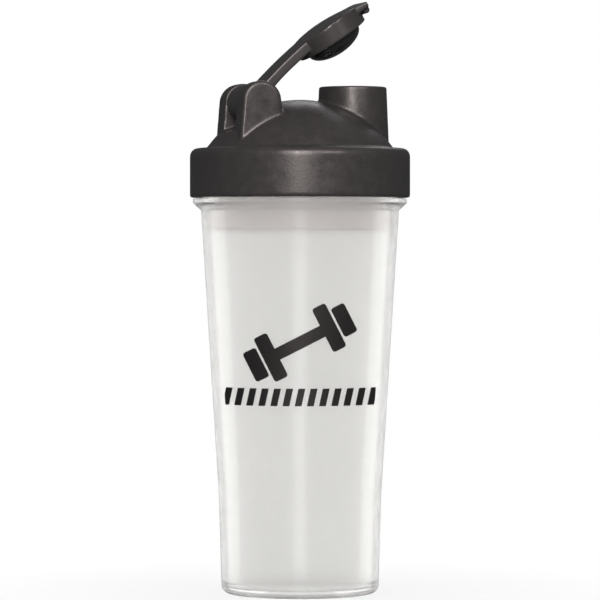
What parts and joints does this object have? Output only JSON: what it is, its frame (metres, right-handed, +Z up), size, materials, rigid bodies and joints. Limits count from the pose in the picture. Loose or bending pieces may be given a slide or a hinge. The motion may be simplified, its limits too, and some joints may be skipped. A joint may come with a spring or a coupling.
{
  "type": "protein shaker bottle",
  "caption": "Tapered translucent shaker cup with a threaded domed lid, a pouring spout under a hinged flip cap with its plug, a lid gasket and a clip-in mixing strainer.",
  "frame": {"origin": "centre of the cup's base, on the plane that it stands on", "axes": "+Z up along the cup's axis; +X from the cap's hinge to the spout; +Y along the hinge axis"},
  "size_m": [0.0948, 0.0948, 0.2546],
  "materials": {
    "cup_body": "frosted natural polypropylene, translucent",
    "strainer": "frosted natural polypropylene, translucent",
    "gasket": "soft matt silicone",
    "lid_shell": "satin moulded polypropylene",
    "cap": "satin moulded polypropylene",
    "plug": "smooth moulded, slightly glossy"
  },
  "bodies": {
    "cup": {"cup": "cup_body"},
    "gasket": {"lid_gasket": "gasket"},
    "lid": {"screw_lid": "lid_shell", "mixing_strainer": "strainer"},
    "cap": {"flip_cap": "cap", "spout_plug": "plug"}
  },
  "joints": [
    {"name": "lid_lift", "type": "slide", "parent": "cup", "child": "gasket", "axis": [0, 0, 1], "range_m": [0, 0.0072]},
    {"name": "lid_turn", "type": "hinge", "parent": "gasket", "child": "lid", "pos_m": [0, 0, 0.19], "axis": [0, 0, 1], "range_deg": [0, 288]},
    {"name": "cap_hinge", "type": "hinge", "parent": "lid", "child": "cap", "pos_m": [-0.0222, 0, 0.2111], "axis": [0, -1, 0], "range_deg": [-34, 96]}
  ],
  "couplings": [
    {"joint": "lid_lift", "follows": "lid_turn", "m_per_rad": 0.0014324}
  ]
}
